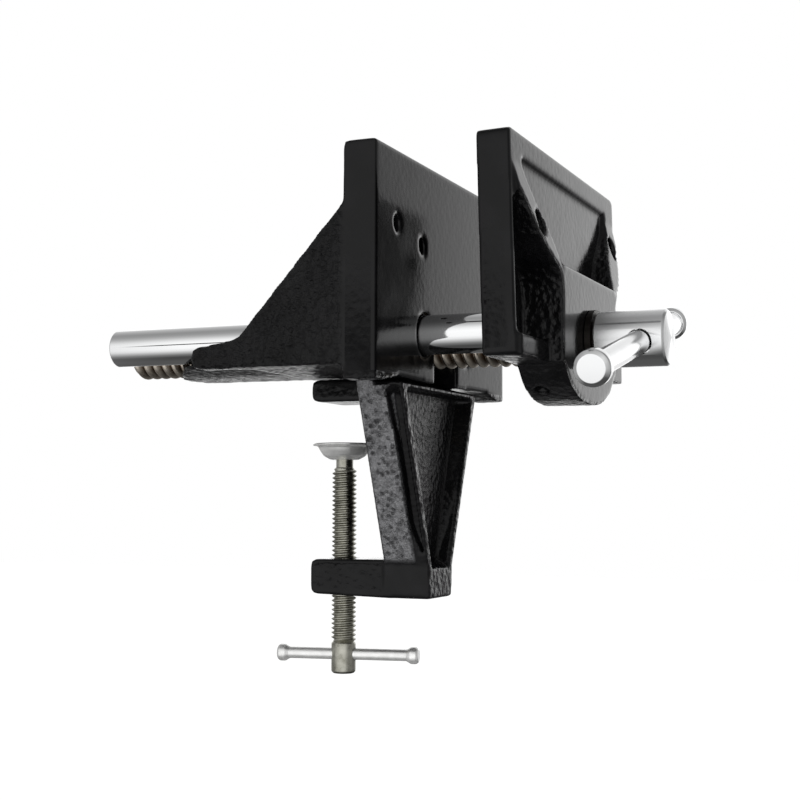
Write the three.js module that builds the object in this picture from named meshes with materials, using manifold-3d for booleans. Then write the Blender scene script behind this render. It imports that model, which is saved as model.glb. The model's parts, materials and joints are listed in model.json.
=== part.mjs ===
// Clamp-on bench vise: two cast jaws on a pair of guide rods, a lead screw, and a C-frame that
// grips the edge of a bench. Millimetres, +X from the fixed jaw to the handle, +Z up.
// The origin is the middle of the bench seat, the face under the C-frame's tongue.
import * as THREE from "three";
import { mergeVertices } from "three/addons/utils/BufferGeometryUtils.js";
import Module from "manifold-3d";

const wasm = await Module();
wasm.setup();

// ---- driving dimensions -------------------------------------------------------------------
const GAP = 0.3; // clearance between touching pieces
const JAW_WIDTH = 150;
const HALF = JAW_WIDTH / 2;
const SEAT_TO_FACE = 41; // from the bench seat's middle to the fixed jaw's clamping face
const SEAT_TO_RODS = 26; // from the bench seat up to the guide rods' axes

const FIXED_TOP = 72.5; // heights below are above the guide rods' axes
const FIXED_THICK = 14.5;
const APRON = -22; // lower corners of the fixed jaw plate
const APRON_ARCH = -19.8; // its lower edge in the middle
const BASE_UNDER = -16; // underside of the base plate that the C-frame bolts to
const BASE_TOP = -9.6;
const BASE_REAR = -61;
const GUSSET_TOP = 48;
const GUSSET_THICK = 11;
const GUSSET_NOSE = -83.5;
const CRADLE_REAR = -128;
const CRADLE_HALF = 33;
const HUB_REAR = -62; // block that the rods and the nut sit in, behind the fixed jaw plate
const HUB_HALF = 36;
const HUB_TOP = 13;

const OPENING = 41; // between the jaws at rest, at their top edges
const MOVING_TOP = 71.25;
const MOVING_THICK = 13.4;
const MOVING_BOTTOM = -15;
const TOE_IN = 0.03; // the moving jaw leans in by this slope, so that its top grips first
const BOSS_FACE = 65; // front of the moving jaw's boss
const BOSS_HALF = 39.5;
const BOSS_TOP = 24;
const BELLY_TAPER = 0.94; // the belly under the boss narrows to this towards the clamping face
const FLANGE_FRONT = 59; // shelf along the moving jaw's lower edge
const FLANGE_TOP = -6.5;
const RIB_TOP = 62; // where the moving jaw's side ribs rise out of its plate
const POCKET_SKIN = 5; // plate left behind the moving jaw's pockets
const BASIN_SKIN = 11.4; // and behind the shallow basin between the ribs
const RIM = 4; // edge of the plate left outside the pockets

const ROD_RADIUS = 8.35;
const ROD_SPREAD = 24; // each rod's distance from the middle
const ROD_REAR = -153;
const ROD_FRONT = 54;
const SCREW_DROP = -2.4; // the lead screw's axis is this far below the rods' axes
const SCREW_RADIUS = 9.8;
const SCREW_REAR = -156.6;
const JOURNAL_RADIUS = 7;
const NUT_RADIUS = 12.6;
const NUT_REAR = -69;
const NUT_FRONT = -34;

const HEAD_RADIUS = 11.7;
const HEAD_REAR = 68;
const HEAD_FRONT = 97.6;
const HANDLE_AT = 87.5; // where the handle bar crosses the spindle
const HANDLE_RADIUS = 4.9;
const HANDLE_LENGTH = 138;
const HANDLE_SHIFT = -15; // the bar hangs this far through towards -Y
const HANDLE_TILT = 0.235; // its near end hangs low
const CAP_RADIUS = 7.1;
const CAP_LENGTH = 7;

const LEG_FRONT = -2.4; // +X face of the C-frame's leg
const THROAT = -23; // face of the leg towards the bench edge
const LEG_HALF_TOP = 42.8;
const LEG_HALF_BOTTOM = 14.6;
const ARM_HALF = 13.3;
const ARM_REAR = -58.8;
const SEAT = -26;
const ARM_TOP = -94.3;
const ARM_BOTTOM = -110.8;
const LEG_WALL = 5.6;
const POCKET_FLOOR = -9.4; // floor of the hollow in the leg's outer side
const POCKET_TOP = -23;
const POCKET_BOTTOM = -98;

const CLAMP_AT = -48.5; // axis of the clamp screw
const CLAMP_RADIUS = 5.45;
const CLAMP_THREAD_TOP = -54.3;
const CLAMP_NECK_RADIUS = 3.8;
const CLAMP_HEAD_TOP = -131.5;
const CLAMP_HEAD_BOTTOM = -145;
const CUP_RADIUS = 14.4;
const CUP_RIM = -43.9;
const CUP_FLOOR = -51.2;
const TBAR_AT = -136.6;
const TBAR_LENGTH = 64;
const TBAR_RADIUS = 2.55;
const TBAR_KNOB = 3.75;
const TBAR_TURN = 0.2;
const TBAR_SHIFT = 2;

// ---- geometry helpers ---------------------------------------------------------------------
function solid(geometry) {
  const bare = geometry.index ? geometry.toNonIndexed() : geometry.clone();
  bare.deleteAttribute("normal");
  bare.deleteAttribute("uv");
  const merged = mergeVertices(bare, 1e-4);
  return new wasm.Manifold(
    new wasm.Mesh({
      numProp: 3,
      vertProperties: new Float32Array(merged.attributes.position.array),
      triVerts: new Uint32Array(merged.index.array),
    }),
  );
}

function geometryOf(manifold) {
  const mesh = manifold.getMesh();
  const positions = new Float32Array(mesh.numVert * 3);
  for (let i = 0; i < mesh.numVert; i++) {
    positions.set(mesh.vertProperties.subarray(i * mesh.numProp, i * mesh.numProp + 3), i * 3);
  }
  const indexed = new THREE.BufferGeometry()
    .setAttribute("position", new THREE.BufferAttribute(positions, 3))
    .setIndex(new THREE.BufferAttribute(mesh.triVerts, 1));
  const flat = indexed.toNonIndexed();
  flat.computeVertexNormals();
  return flat;
}

// Closed outline through [x, y] corners, or [x, y, radius] for a rounded corner.
function outline(corners) {
  const shape = new THREE.Shape();
  corners.forEach(([x, y, radius = 0], i) => {
    const here = new THREE.Vector2(x, y);
    const before = new THREE.Vector2(...corners.at(i - 1).slice(0, 2));
    const after = new THREE.Vector2(...corners[(i + 1) % corners.length].slice(0, 2));
    const entry = here.clone().add(before.sub(here).setLength(radius));
    const exit = here.clone().add(after.sub(here).setLength(radius));
    if (i === 0) shape.moveTo(entry.x, entry.y);
    else shape.lineTo(entry.x, entry.y);
    if (radius > 0) shape.quadraticCurveTo(here.x, here.y, exit.x, exit.y);
  });
  shape.closePath();
  return shape;
}

function extrude(corners, depth, curveSegments = 4) {
  return new THREE.ExtrudeGeometry(outline(corners), { depth, bevelEnabled: false, curveSegments });
}

// Outline in X and Z, from y0 to y1.
function alongY(corners, y0, y1) {
  return solid(extrude(corners, y1 - y0).rotateX(Math.PI / 2).translate(0, y1, 0));
}

// Outline in X and Y, from z0 to z1.
function alongZ(corners, z0, z1) {
  return solid(extrude(corners, z1 - z0).translate(0, 0, z0));
}

// Outline in Y and Z, from x0 to x1.
function alongX(corners, x0, x1) {
  const turned = extrude(corners, x1 - x0).rotateX(Math.PI / 2).rotateZ(Math.PI / 2);
  return solid(turned.translate(x0, 0, 0));
}

function block(x0, x1, y0, y1, z0, z1) {
  const box = new THREE.BoxGeometry(x1 - x0, y1 - y0, z1 - z0);
  return solid(box.translate((x0 + x1) / 2, (y0 + y1) / 2, (z0 + z1) / 2));
}

// Turned shape about +Z: a list of [radius, height] from the bottom of the axis to its top.
function turned(profile, segments = 32) {
  return new THREE.LatheGeometry(profile.map(([r, h]) => new THREE.Vector2(r, h)), segments)
    .rotateX(Math.PI / 2);
}

// Plain round bar along Z with chamfered ends.
function bar(radius, z0, z1, chamfer = 0.8, segments = 32) {
  return turned(
    [[0, z0], [radius - chamfer, z0], [radius, z0 + chamfer], [radius, z1 - chamfer],
      [radius - chamfer, z1], [0, z1]],
    segments,
  );
}

function towardsX(geometry, y = 0, z = 0) {
  return geometry.rotateY(Math.PI / 2).translate(0, y, z);
}

function boreX(radius, x0, x1, y, z, segments = 32) {
  const cylinder = new THREE.CylinderGeometry(radius, radius, x1 - x0, segments);
  return solid(cylinder.rotateZ(Math.PI / 2).translate((x0 + x1) / 2, y, z));
}

function boreZ(radius, z0, z1, x, y, segments = 24) {
  const cylinder = new THREE.CylinderGeometry(radius, radius, z1 - z0, segments);
  return solid(cylinder.rotateX(Math.PI / 2).translate(x, y, (z0 + z1) / 2));
}

const mirrored = (corners) => corners.map(([y, z, r]) => [-y, z, r]).reverse();
const join = (first, ...others) => others.reduce((all, one) => all.add(one), first);
const cut = (first, ...others) => others.reduce((all, one) => all.subtract(one), first);

// ---- materials ----------------------------------------------------------------------------
const finish = (color, roughness, metalness) => () =>
  new THREE.MeshStandardMaterial({ color, roughness, metalness });
const blackPaint = finish(0x0b0b0c, 0.22, 0.0);
const chrome = finish(0xd6d8da, 0.08, 1.0);
const oiledSteel = finish(0x8a7b6c, 0.38, 1.0);
const zincSteel = finish(0xb4b4ae, 0.3, 1.0);
const bronze = finish(0x9c7a45, 0.35, 1.0);

const vise = new THREE.Group();

function place(name, shape, material, parent = vise) {
  const geometry = shape.isBufferGeometry ? shape : geometryOf(shape);
  const mesh = new THREE.Mesh(geometry, material());
  mesh.name = name;
  parent.add(mesh);
  return mesh;
}

// ---- fixed jaw ----------------------------------------------------------------------------
const SIDES = [["near", -1], ["far", 1]];
const FRAME_BOLT_AT = -19;
const FRAME_BOLT_SPREAD = 38.2;
const FRAME_BOLT_END = -23.5;
const FRAME_BOLT_RADIUS = 2.5;
const FRAME_BOLT_HEAD = 4.2;
const FRAME_WASHER = 4.6;

function gusset(y0, y1) {
  const root = -FIXED_THICK + 2;
  return alongY(
    [
      [root, BASE_UNDER],
      [root, GUSSET_TOP],
      [-FIXED_THICK, GUSSET_TOP, 1],
      [-61.5, -4.2, 3],
      [GUSSET_NOSE, -7.6, 4.5],
      [GUSSET_NOSE + 1.2, BASE_UNDER, 3],
    ],
    y0,
    y1,
  );
}

// Shallow trough under the screw and rods, behind the base plate.
function cradle() {
  const section = [
    [-CRADLE_HALF, BASE_TOP],
    [-CRADLE_HALF, BASE_TOP - 1.2, 1],
    [-13, -14, 6],
    [13, -14, 6],
    [CRADLE_HALF, BASE_TOP - 1.2, 1],
    [CRADLE_HALF, BASE_TOP],
  ];
  const plan = [
    [BASE_REAR + 2, -CRADLE_HALF],
    [BASE_REAR + 2, CRADLE_HALF],
    [-112, CRADLE_HALF, 5],
    [CRADLE_REAR, 9, 5],
    [CRADLE_REAR, -9, 5],
    [-112, -CRADLE_HALF, 5],
  ];
  return alongX(section, CRADLE_REAR, BASE_REAR + 2).intersect(alongZ(plan, -20, 0));
}

function fixedJaw() {
  const plate = alongY(
    [
      [0, APRON, 0.8],
      [0, FIXED_TOP, 0.8],
      [-FIXED_THICK, FIXED_TOP, 3],
      [-FIXED_THICK, APRON, 1],
    ],
    -HALF,
    HALF,
  );
  const base = block(BASE_REAR, -2, -HALF + 2, HALF - 2, BASE_UNDER, BASE_TOP);
  const hub = alongX(
    [
      [-HUB_HALF, BASE_TOP - 2],
      [-HUB_HALF, HUB_TOP, 6],
      [HUB_HALF, HUB_TOP, 6],
      [HUB_HALF, BASE_TOP - 2],
    ].reverse(),
    HUB_REAR,
    -4,
  );
  const nutBoss = boreX(18, HUB_REAR, -10, 0, SCREW_DROP);
  const body = join(
    plate,
    base,
    cradle(),
    hub,
    nutBoss.subtract(block(-80, 0, -30, 30, -40, BASE_UNDER)),
    gusset(-HALF, -HALF + GUSSET_THICK),
    gusset(HALF - GUSSET_THICK, HALF),
  );
  const rodBores = SIDES.map(([, side]) =>
    boreX(ROD_RADIUS + GAP, CRADLE_REAR - 5, 5, side * ROD_SPREAD, 0));
  const screwWay = boreX(SCREW_RADIUS + 0.6, CRADLE_REAR - 5, 5, 0, SCREW_DROP);
  const nutSeat = boreX(NUT_RADIUS + GAP, HUB_REAR - 2, NUT_FRONT + GAP, 0, SCREW_DROP);
  const arch = alongX(
    [[-66, APRON - 5], [-66, APRON], [-50, -19], [0, APRON_ARCH], [50, -19], [66, APRON],
      [66, APRON - 5]],
    -FIXED_THICK - 1,
    1,
  );
  const notch = block(-FIXED_THICK - 1, 5, -13, 13, APRON - 5, SCREW_DROP);
  const linerHoles = [[-53, 42.3], [-26.7, 37.3], [53, 42.3]].map(([y, z]) =>
    boreX(3.4, -FIXED_THICK - 5, 5, y, z, 16));
  const boltHoles = SIDES.map(([, side]) =>
    boreZ(FRAME_BOLT_RADIUS + GAP, -30, 10, FRAME_BOLT_AT, side * FRAME_BOLT_SPREAD));
  const spotFaces = SIDES.map(([, side]) =>
    boreZ(FRAME_WASHER + GAP, BASE_TOP, 30, FRAME_BOLT_AT, side * FRAME_BOLT_SPREAD));
  const nutLock = boreZ(2.5 + GAP, SCREW_DROP, 30, -52, 0, 16);
  return cut(body, ...rodBores, screwWay, nutSeat, arch, notch, ...linerHoles, ...boltHoles,
    ...spotFaces, nutLock);
}

place("fixed_jaw", fixedJaw(), blackPaint);

// ---- moving jaw ---------------------------------------------------------------------------
const ROD_LOCK_AT = 51;
const ROD_LOCK_RADIUS = 2.5;
const COLLAR_REAR = 42.6;
const COLLAR_LENGTH = 7;
const COLLAR_RADIUS = 11;

// Leans a piece drawn upright, with its clamping face at x = 0, into its place.
function leaned(piece) {
  const geometry = geometryOf(piece).translate(0, 0, -MOVING_TOP);
  return solid(geometry.rotateY(-TOE_IN).translate(OPENING, 0, MOVING_TOP));
}

function movingPlate() {
  const face = alongX(
    [
      [-HALF, MOVING_TOP, 3],
      [-HALF, MOVING_BOTTOM, 1.5],
      [HALF, MOVING_BOTTOM, 1.5],
      [HALF, MOVING_TOP, 3],
    ],
    0,
    MOVING_THICK,
  );
  const basin = [
    [-60, RIB_TOP],
    [-60, 50],
    [-48, 34],
    [-37, BOSS_TOP - 4],
    [37, BOSS_TOP - 4],
    [48, 34],
    [60, 50],
    [60, RIB_TOP],
  ];
  return leaned(face.subtract(alongX(basin, BASIN_SKIN, 40)));
}

// Curved ribs from the plate's upper corners down to the boss, their front edges sloping forward.
function sideRibs() {
  const section = [
    [-59.5, RIB_TOP + 0.5],
    [-57.5, 54, 3],
    [-55, 50, 3],
    [-51.3, 44.5, 4],
    [-45.5, 39, 4],
    [-40.5, 30, 4],
    [-37.5, BOSS_TOP - 4],
    [-37.5, 10],
    [-60, 10],
    [-HALF + RIM, 45],
    [-HALF + RIM - 1, RIB_TOP + 0.5],
  ];
  const front = alongY(
    [
      [OPENING + 4, 0],
      [OPENING + 4, 70],
      [51.8, 70],
      [BOSS_FACE, 21.3],
      [BOSS_FACE, 0],
    ],
    -HALF,
    HALF,
  );
  const pair = join(
    alongX(section, OPENING + 5, BOSS_FACE + 1),
    alongX(mirrored(section), OPENING + 5, BOSS_FACE + 1),
  );
  return pair.intersect(front);
}

// Deep hollows between the ribs, the boss, the shelf and the plate's rim.
function sidePockets() {
  const section = [
    [-HALF + RIM, FLANGE_TOP, 1.5],
    [-BOSS_HALF, FLANGE_TOP, 2],
    [-BOSS_HALF, 14, 4],
    [-43.5, 21, 4],
    [-54, 27.5, 5],
    [-61, 34.5, 4],
    [-65.5, 42, 3],
    [-HALF + RIM, 49.5, 1],
  ];
  return [section, mirrored(section)].map((corners) => leaned(alongX(corners, POCKET_SKIN, 40)));
}

function movingBoss() {
  const upper = alongX(
    [
      [-BOSS_HALF, BOSS_TOP, 2],
      [-BOSS_HALF, MOVING_BOTTOM],
      [BOSS_HALF, MOVING_BOTTOM],
      [BOSS_HALF, BOSS_TOP, 2],
    ],
    OPENING + 6,
    BOSS_FACE,
  );
  const shelf = block(OPENING + 5, FLANGE_FRONT, -HALF + 2, HALF - 2, MOVING_BOTTOM, FLANGE_TOP);
  return join(upper, shelf, belly());
}

// Half-round belly under the boss.
function belly() {
  const section = [
    [-38.5, -10],
    [-38.5, -14],
    [-31, -22.5, 5],
    [-17.5, -28, 5],
    [0, -29.6, 6],
    [17.5, -28, 5],
    [31, -22.5, 5],
    [38.5, -14],
    [38.5, -10],
  ];
  const geometry = geometryOf(alongX(section, OPENING + 3, BOSS_FACE));
  const positions = geometry.getAttribute("position");
  for (let i = 0; i < positions.count; i++) {
    const share = (positions.getX(i) - OPENING) / (BOSS_FACE - OPENING);
    positions.setY(i, positions.getY(i) * (BELLY_TAPER + (1 - BELLY_TAPER) * share));
  }
  return solid(geometry);
}

function movingJaw() {
  const body = join(movingPlate(), sideRibs(), movingBoss());
  const rodSockets = SIDES.map(([, side]) =>
    boreX(ROD_RADIUS + GAP, 30, ROD_FRONT + GAP, side * ROD_SPREAD, 0));
  const lockHoles = SIDES.map(([, side]) =>
    boreZ(ROD_LOCK_RADIUS + GAP, -40, 0, ROD_LOCK_AT, side * ROD_SPREAD, 16));
  const journal = boreX(JOURNAL_RADIUS + GAP, 30, 70, 0, SCREW_DROP);
  const collarSeat = boreX(COLLAR_RADIUS + 0.6, 30, COLLAR_REAR + COLLAR_LENGTH + GAP, 0, SCREW_DROP);
  const linerHoles = [[-53.2, 38], [61, 46.5]].map(([y, z]) =>
    boreX(3.4, 30, 70, y, z, 16).add(boreX(5.1, 49, 70, y, z, 20)));
  return cut(body, ...sidePockets(), ...rodSockets, ...lockHoles, journal, collarSeat,
    ...linerHoles);
}

place("moving_jaw", movingJaw(), blackPaint);

for (const [name, side] of SIDES) {
  const rod = towardsX(bar(ROD_RADIUS, ROD_REAR, ROD_FRONT, 0.8, 36), side * ROD_SPREAD);
  place("guide_rod_" + name, rod, chrome);
  const top = -ROD_RADIUS - GAP;
  const lock = bar(ROD_LOCK_RADIUS, top - 8, top, 0.5, 16)
    .translate(ROD_LOCK_AT, side * ROD_SPREAD, 0);
  place("rod_lock_screw_" + name, lock, zincSteel);
}

// ---- lead screw, its nut and its thrust pieces --------------------------------------------
function leadScrew() {
  const shoulder = COLLAR_REAR - 2;
  const profile = [
    [0, SCREW_REAR],
    [SCREW_RADIUS - 2, SCREW_REAR],
    [SCREW_RADIUS, SCREW_REAR + 3],
    [SCREW_RADIUS, shoulder],
    [JOURNAL_RADIUS, shoulder + 1],
    [JOURNAL_RADIUS, HEAD_REAR + 11.5],
    [0, HEAD_REAR + 11.5],
  ];
  const shaft = solid(towardsX(turned(profile), 0, SCREW_DROP));
  const collarPinHole = boreZ(1.5 + GAP, -30, 30, COLLAR_REAR + COLLAR_LENGTH / 2, 0, 12);
  const headPinHole = boreZ(1.8 + GAP, -30, 30, HEAD_REAR + 5, 0, 12);
  return cut(shaft, collarPinHole, headPinHole);
}

function leadNut() {
  const hollow = boreX(SCREW_RADIUS + GAP, NUT_REAR - 5, NUT_FRONT + 5, 0, SCREW_DROP);
  const sleeve = boreX(NUT_RADIUS, HUB_REAR - 1, NUT_FRONT, 0, SCREW_DROP);
  const flange = boreX(15.4, NUT_REAR + 1, HUB_REAR - GAP, 0, SCREW_DROP);
  const clearOfCradle = block(-90, HUB_REAR + 1, -30, 30, -40, BASE_TOP + GAP);
  const lockDimple = boreZ(2.5 + GAP, SCREW_DROP + NUT_RADIUS - 2, 30, -52, 0, 16);
  return cut(sleeve.add(flange), hollow, clearOfCradle, lockDimple);
}

function ring(outer, inner, x0, x1, y, z) {
  return boreX(outer, x0, x1, y, z).subtract(boreX(inner, x0 - 1, x1 + 1, y, z));
}

place("lead_screw", leadScrew(), oiledSteel);
place("lead_nut", leadNut(), bronze);
place("nut_lock_screw", bar(2.5, SCREW_DROP + NUT_RADIUS - 1.6, HUB_TOP + 2.4, 0.5, 16)
  .translate(-52, 0, 0), zincSteel);

const collar = ring(COLLAR_RADIUS, JOURNAL_RADIUS + GAP, COLLAR_REAR, COLLAR_REAR + COLLAR_LENGTH,
  0, SCREW_DROP);
const collarPinAt = COLLAR_REAR + COLLAR_LENGTH / 2;
place("retaining_collar", cut(collar, boreZ(1.5 + GAP, -30, 30, collarPinAt, 0, 12)), zincSteel);
place("collar_pin", bar(1.5, SCREW_DROP - 10, SCREW_DROP + 10, 0.3, 12)
  .translate(collarPinAt, 0, 0), oiledSteel);
place("thrust_washer", ring(12.6, JOURNAL_RADIUS + GAP, BOSS_FACE + GAP, HEAD_REAR - GAP,
  0, SCREW_DROP), oiledSteel);

// ---- spindle head and handle --------------------------------------------------------------
function spindleHead() {
  const body = solid(towardsX(turned([
    [0, HEAD_REAR],
    [HEAD_RADIUS - 0.6, HEAD_REAR],
    [HEAD_RADIUS, HEAD_REAR + 0.6],
    [HEAD_RADIUS, HEAD_FRONT - 0.8],
    [HEAD_RADIUS - 0.8, HEAD_FRONT],
    [0, HEAD_FRONT + 0.9],
  ], 40), 0, SCREW_DROP));
  const socket = boreX(JOURNAL_RADIUS + GAP, HEAD_REAR - 1, HEAD_REAR + 11.8, 0, SCREW_DROP);
  const pinHole = boreZ(1.8 + GAP, -30, 30, HEAD_REAR + 5, 0, 12);
  const crossHole = solid(new THREE.CylinderGeometry(HANDLE_RADIUS + 0.5, HANDLE_RADIUS + 0.5, 60, 28)
    .rotateX(HANDLE_TILT)
    .translate(HANDLE_AT, 0, SCREW_DROP));
  return cut(body, socket, pinHole, crossHole);
}

place("spindle_head", spindleHead(), chrome);
place("head_pin", bar(1.8, SCREW_DROP - 10.4, SCREW_DROP + 10.4, 0.3, 12)
  .translate(HEAD_REAR + 5, 0, 0), oiledSteel);

// The bar's own frame: its length along the group's Z, which points to +Y with the near end low.
const handle = new THREE.Group();
handle.position.set(HANDLE_AT, 0, SCREW_DROP);
handle.rotation.x = HANDLE_TILT - Math.PI / 2;
vise.add(handle);

const handleEnd = HANDLE_LENGTH / 2;
const spigot = handleEnd - CAP_LENGTH;
place("handle_bar", turned([
  [0, HANDLE_SHIFT - handleEnd + 1.2],
  [HANDLE_RADIUS - 1.4, HANDLE_SHIFT - handleEnd + 1.2],
  [HANDLE_RADIUS - 1.4, HANDLE_SHIFT - spigot],
  [HANDLE_RADIUS, HANDLE_SHIFT - spigot + 0.4],
  [HANDLE_RADIUS, HANDLE_SHIFT + spigot - 0.4],
  [HANDLE_RADIUS - 1.4, HANDLE_SHIFT + spigot],
  [HANDLE_RADIUS - 1.4, HANDLE_SHIFT + handleEnd - 1.2],
  [0, HANDLE_SHIFT + handleEnd - 1.2],
], 28), chrome, handle);

for (const [name, side] of SIDES) {
  const inner = HANDLE_RADIUS - 1.4 + GAP;
  const cap = turned([
    [0, 0],
    [CAP_RADIUS - 1.9, 0],
    [CAP_RADIUS, 1.9],
    [CAP_RADIUS, CAP_LENGTH - 1.6],
    [CAP_RADIUS - 1.2, CAP_LENGTH - 0.4],
    [inner, CAP_LENGTH - 0.4],
    [inner, 0.9],
    [0, 0.9],
  ], 32);
  const mesh = place("handle_cap_" + name, cap, chrome, handle);
  mesh.position.z = HANDLE_SHIFT + side * handleEnd;
  if (side > 0) mesh.rotation.x = Math.PI;
}

// ---- C-frame ------------------------------------------------------------------------------
// Flared leg: half width at a height, the same slope from under the jaw to the arm.
function flare(z, inset = 0) {
  const slope = (LEG_HALF_TOP - LEG_HALF_BOTTOM) / (SEAT + 2 - ARM_TOP);
  return LEG_HALF_BOTTOM + slope * Math.max(0, z - ARM_TOP) - inset;
}

function flaredSlab(x0, x1, top, bottom, inset) {
  const high = flare(top, inset);
  const low = flare(bottom, inset);
  const corners = [[-high, top], [-low, bottom], [low, bottom], [high, top]];
  return alongX(corners, x0, x1);
}

function clampFrame() {
  const head = BASE_UNDER - GAP;
  const underPlate = APRON_ARCH - GAP;
  const leg = flaredSlab(THROAT, LEG_FRONT, head, ARM_TOP - 2, 0);
  const foot = alongX(
    [[-flare(ARM_TOP), ARM_TOP], [-ARM_HALF, ARM_BOTTOM, 2], [ARM_HALF, ARM_BOTTOM, 2],
      [flare(ARM_TOP), ARM_TOP]],
    THROAT,
    LEG_FRONT,
  );
  const tongue = alongY(
    [[ARM_REAR, head, 3.5], [ARM_REAR, SEAT, 3.5], [THROAT + 3, SEAT], [THROAT + 3, head]],
    -ARM_HALF,
    ARM_HALF,
  );
  const arm = alongY(
    [[ARM_REAR, ARM_TOP - 0.4, 3.5], [ARM_REAR, ARM_BOTTOM + 1, 3.5], [THROAT + 3, ARM_BOTTOM],
      [THROAT + 3, ARM_TOP]],
    -ARM_HALF,
    ARM_HALF,
  );
  const jawRelief = block(-FIXED_THICK - GAP, 10, -60, 60, underPlate, 0);
  const grooves = SIDES.map(([, side]) => sideGroove(side));
  const clampThread = boreZ(CLAMP_RADIUS + GAP, ARM_BOTTOM - 5, ARM_TOP + 5, CLAMP_AT, 0);
  const boltHoles = SIDES.map(([, side]) =>
    boreZ(FRAME_BOLT_RADIUS + GAP, FRAME_BOLT_END - 0.6, 0, FRAME_BOLT_AT,
      side * FRAME_BOLT_SPREAD));
  return cut(join(leg, foot, tongue, arm), jawRelief, outerPocket(), ...grooves, clampThread,
    ...boltHoles);
}

// Hollow in the outer side of the leg: its side walls draw in towards the floor.
function outerPocket() {
  const wide = flare(POCKET_TOP, LEG_WALL);
  const section = [
    [POCKET_FLOOR, -wide + 3.5, 1],
    [POCKET_FLOOR, wide - 3.5, 1],
    [LEG_FRONT + 4, wide + 2],
    [LEG_FRONT + 4, -wide - 2],
  ];
  const height = POCKET_TOP - POCKET_BOTTOM;
  const geometry = extrude(section, height).translate(0, 0, POCKET_BOTTOM);
  const positions = geometry.getAttribute("position");
  for (let i = 0; i < positions.count; i++) {
    positions.setY(i, positions.getY(i) * flare(positions.getZ(i), LEG_WALL) / wide);
  }
  const slopingEnd = alongY(
    [
      [-20, POCKET_TOP],
      [-20, ARM_TOP],
      [POCKET_FLOOR, ARM_TOP],
      [LEG_FRONT, POCKET_BOTTOM],
      [10, POCKET_BOTTOM],
      [10, POCKET_TOP],
    ],
    -60,
    60,
  );
  return solid(geometry).intersect(slopingEnd);
}

// Tapered groove down each side of the leg, between the throat flange and the outer rim, with a
// sloping top end.
function sideGroove(side) {
  const top = -21.4;
  const bottom = ARM_TOP + 2.5;
  const wedge = alongY(
    [[-9.9, top], [-8, -50], [-8, -81, 3], [-4.6, bottom], [-3.7, bottom], [-3.7, top]],
    -60,
    60,
  );
  const floor = flaredSlab(-30, 10, top + 5, bottom - 5, 4.2);
  const high = flare(top, 4.2);
  const runOut = alongX(
    [[-high, top - 3.2], [-high - 4.8, top], [-high - 4.8, top + 3], [high + 4.8, top + 3],
      [high + 4.8, top], [high, top - 3.2]],
    -30,
    10,
  );
  const half = block(-40, 10, side > 0 ? 0 : -60, side > 0 ? 60 : 0, bottom - 8, top + 8);
  return wedge.subtract(floor).subtract(runOut).intersect(half);
}

place("clamp_frame", clampFrame(), blackPaint);

for (const [name, side] of SIDES) {
  const y = side * FRAME_BOLT_SPREAD;
  const washer = solid(turned([
    [FRAME_BOLT_RADIUS + GAP, BASE_TOP + GAP],
    [FRAME_WASHER, BASE_TOP + GAP],
    [FRAME_WASHER, BASE_TOP + GAP + 1.2],
    [FRAME_BOLT_RADIUS + GAP, BASE_TOP + GAP + 1.2],
    [FRAME_BOLT_RADIUS + GAP, BASE_TOP + GAP],
  ], 24));
  place("frame_bolt_washer_" + name, geometryOf(washer).translate(FRAME_BOLT_AT, y, 0), zincSteel);
  const headFloor = BASE_TOP + GAP + 1.2 + GAP;
  const roundHead = cut(
    solid(bar(FRAME_BOLT_HEAD, headFloor, headFloor + 5, 0.4, 24)),
    solid(new THREE.CylinderGeometry(2.3, 2.3, 6, 6).rotateX(Math.PI / 2)
      .translate(0, 0, headFloor + 5.2)),
  );
  const shank = solid(bar(FRAME_BOLT_RADIUS, FRAME_BOLT_END, headFloor + 1, 0.5, 20));
  place("frame_bolt_" + name, geometryOf(roundHead.add(shank)).translate(FRAME_BOLT_AT, y, 0),
    zincSteel);
}

// ---- clamp screw, cup and tommy bar -------------------------------------------------------
function clampScrew() {
  const shaft = solid(turned([
    [0, CLAMP_HEAD_BOTTOM],
    [CLAMP_RADIUS - 1, CLAMP_HEAD_BOTTOM],
    [CLAMP_RADIUS - 0.1, CLAMP_HEAD_BOTTOM + 1],
    [CLAMP_RADIUS - 0.1, CLAMP_HEAD_TOP],
    [CLAMP_RADIUS, CLAMP_HEAD_TOP + 0.2],
    [CLAMP_RADIUS, CLAMP_THREAD_TOP - 1],
    [CLAMP_NECK_RADIUS, CLAMP_THREAD_TOP],
    [CLAMP_NECK_RADIUS, CUP_FLOOR + 1.7],
    [CLAMP_NECK_RADIUS + 1.5, CUP_FLOOR + 2.4],
    [CLAMP_NECK_RADIUS + 1.2, CUP_FLOOR + 3.8],
    [0, CUP_FLOOR + 4.6],
  ], 28));
  const cross = solid(new THREE.CylinderGeometry(TBAR_RADIUS + 0.35, TBAR_RADIUS + 0.35, 30, 20)
    .rotateZ(Math.PI / 2).rotateZ(TBAR_TURN).translate(0, 0, TBAR_AT));
  return geometryOf(cut(shaft, cross)).translate(CLAMP_AT, 0, 0);
}

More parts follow.
